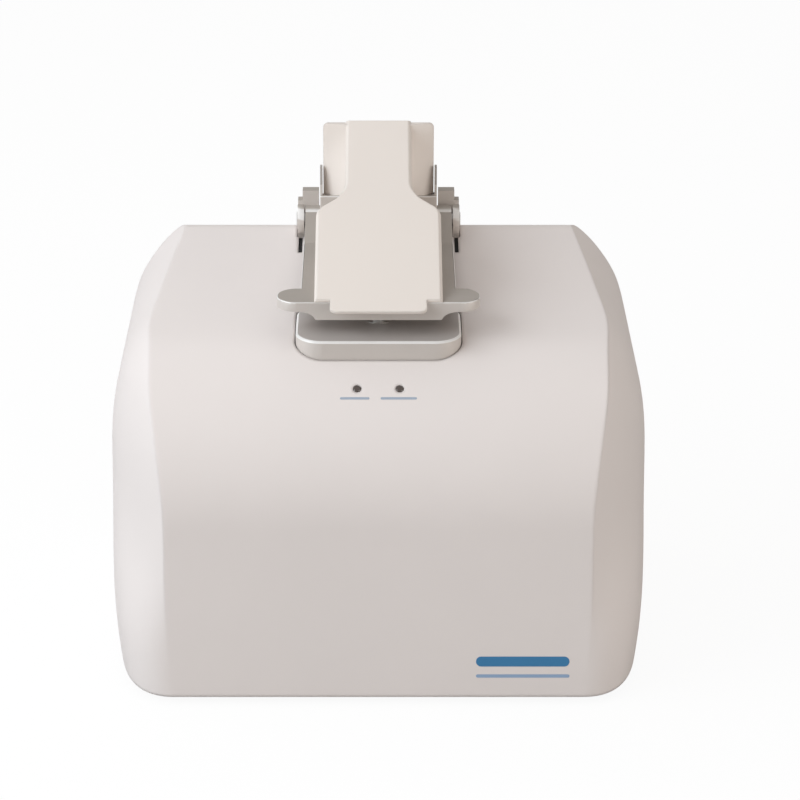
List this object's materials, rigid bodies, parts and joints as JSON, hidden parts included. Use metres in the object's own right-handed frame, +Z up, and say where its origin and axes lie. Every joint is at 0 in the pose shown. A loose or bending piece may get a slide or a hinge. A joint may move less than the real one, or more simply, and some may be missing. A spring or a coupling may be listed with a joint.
{
  "type": "microvolume spectrophotometer",
  "caption": "Bench spectrophotometer for microlitre drops: barrel-sided housing with a sample platform and a hinged arm that closes over it.",
  "frame": {"origin": "on the table, under the middle of the housing's width and depth", "axes": "+X to the user's right, +Y from the front face to the rear, +Z up"},
  "size_m": [0.21, 0.156, 0.1889],
  "materials": {
    "cover_white": "smooth moulded warm white, satin",
    "arm_white": "smooth moulded warm white, satin",
    "arm_grey": "grey paint over cast alloy",
    "platform_grey": "grey paint over cast alloy, ground deck",
    "yoke_grey": "grey paint over cast alloy",
    "chassis_steel": "dark grey powder coat",
    "panel_grey": "dark grey powder coat",
    "foot_rubber": "soft moulded",
    "seal_rubber": "soft",
    "bumper_rubber": "soft",
    "fixing_steel": "plated",
    "pin_steel": "ground",
    "pedestal_steel": "polished at the tip",
    "guide_brass": "turned",
    "bush_bronze": "turned",
    "frame_aluminium": "folded sheet",
    "module_black": "black anodised",
    "lamp_alloy": "turned",
    "motor_steel": "black",
    "board_green": "solder mask",
    "led_clear": "smoked clear, unlit",
    "fibre_jacket": "smooth jacket",
    "magnet_nickel": "plated",
    "socket_black": "moulded",
    "usb_shell": "plated",
    "rocker_black": "moulded"
  },
  "bodies": {
    "housing": {"top_cover": "cover_white", "bottom_chassis": "chassis_steel", "rubber_feet": "foot_rubber", "foot_screws": "fixing_steel", "rear_panel": "panel_grey", "panel_screws": "fixing_steel", "support_frame": "frame_aluminium", "sample_platform": "platform_grey", "platform_gasket": "seal_rubber", "platform_screws": "fixing_steel", "hinge_yoke": "yoke_grey", "yoke_screws": "fixing_steel", "hinge_pin": "pin_steel", "pin_caps": "pin_steel", "slot_seals": "seal_rubber", "stop_bumpers": "bumper_rubber", "pedestal_guide": "guide_brass", "lift_motor": "motor_steel", "motor_bracket": "frame_aluminium", "main_board": "board_green", "board_standoffs": "guide_brass", "driver_board": "board_green", "spectrometer_module": "module_black", "receiving_fibre": "fibre_jacket", "arm_sensor": "board_green", "led_board": "board_green", "status_leds": "led_clear", "dc_jack": "socket_black", "usb_port": "usb_shell", "switch_housing": "socket_black"},
    "arm": {"arm_frame": "arm_grey", "arm_cover": "arm_white", "cover_screws": "fixing_steel", "hinge_bushes": "bush_bronze", "upper_pedestal": "pedestal_steel", "arm_magnet": "magnet_nickel", "lamp_module": "lamp_alloy", "lamp_bracket": "frame_aluminium", "lamp_fibre": "fibre_jacket"},
    "pedestal": {"lower_pedestal": "pedestal_steel", "lift_rod": "pin_steel"},
    "rocker": {"power_rocker": "rocker_black"}
  },
  "joints": [
    {"name": "arm_hinge", "type": "hinge", "parent": "housing", "child": "arm", "pos_m": [0, 0.059, 0.1495], "axis": [-1, 0, 0], "range_deg": [0, 80]},
    {"name": "pedestal_lift", "type": "slide", "parent": "housing", "child": "pedestal", "axis": [0, 0, 1], "range_m": [0, 0.0008]},
    {"name": "power_rocker", "type": "hinge", "parent": "housing", "child": "rocker", "pos_m": [0.044, 0.07227, 0.036], "axis": [-1, 0, 0], "range_deg": [0, 18]}
  ]
}
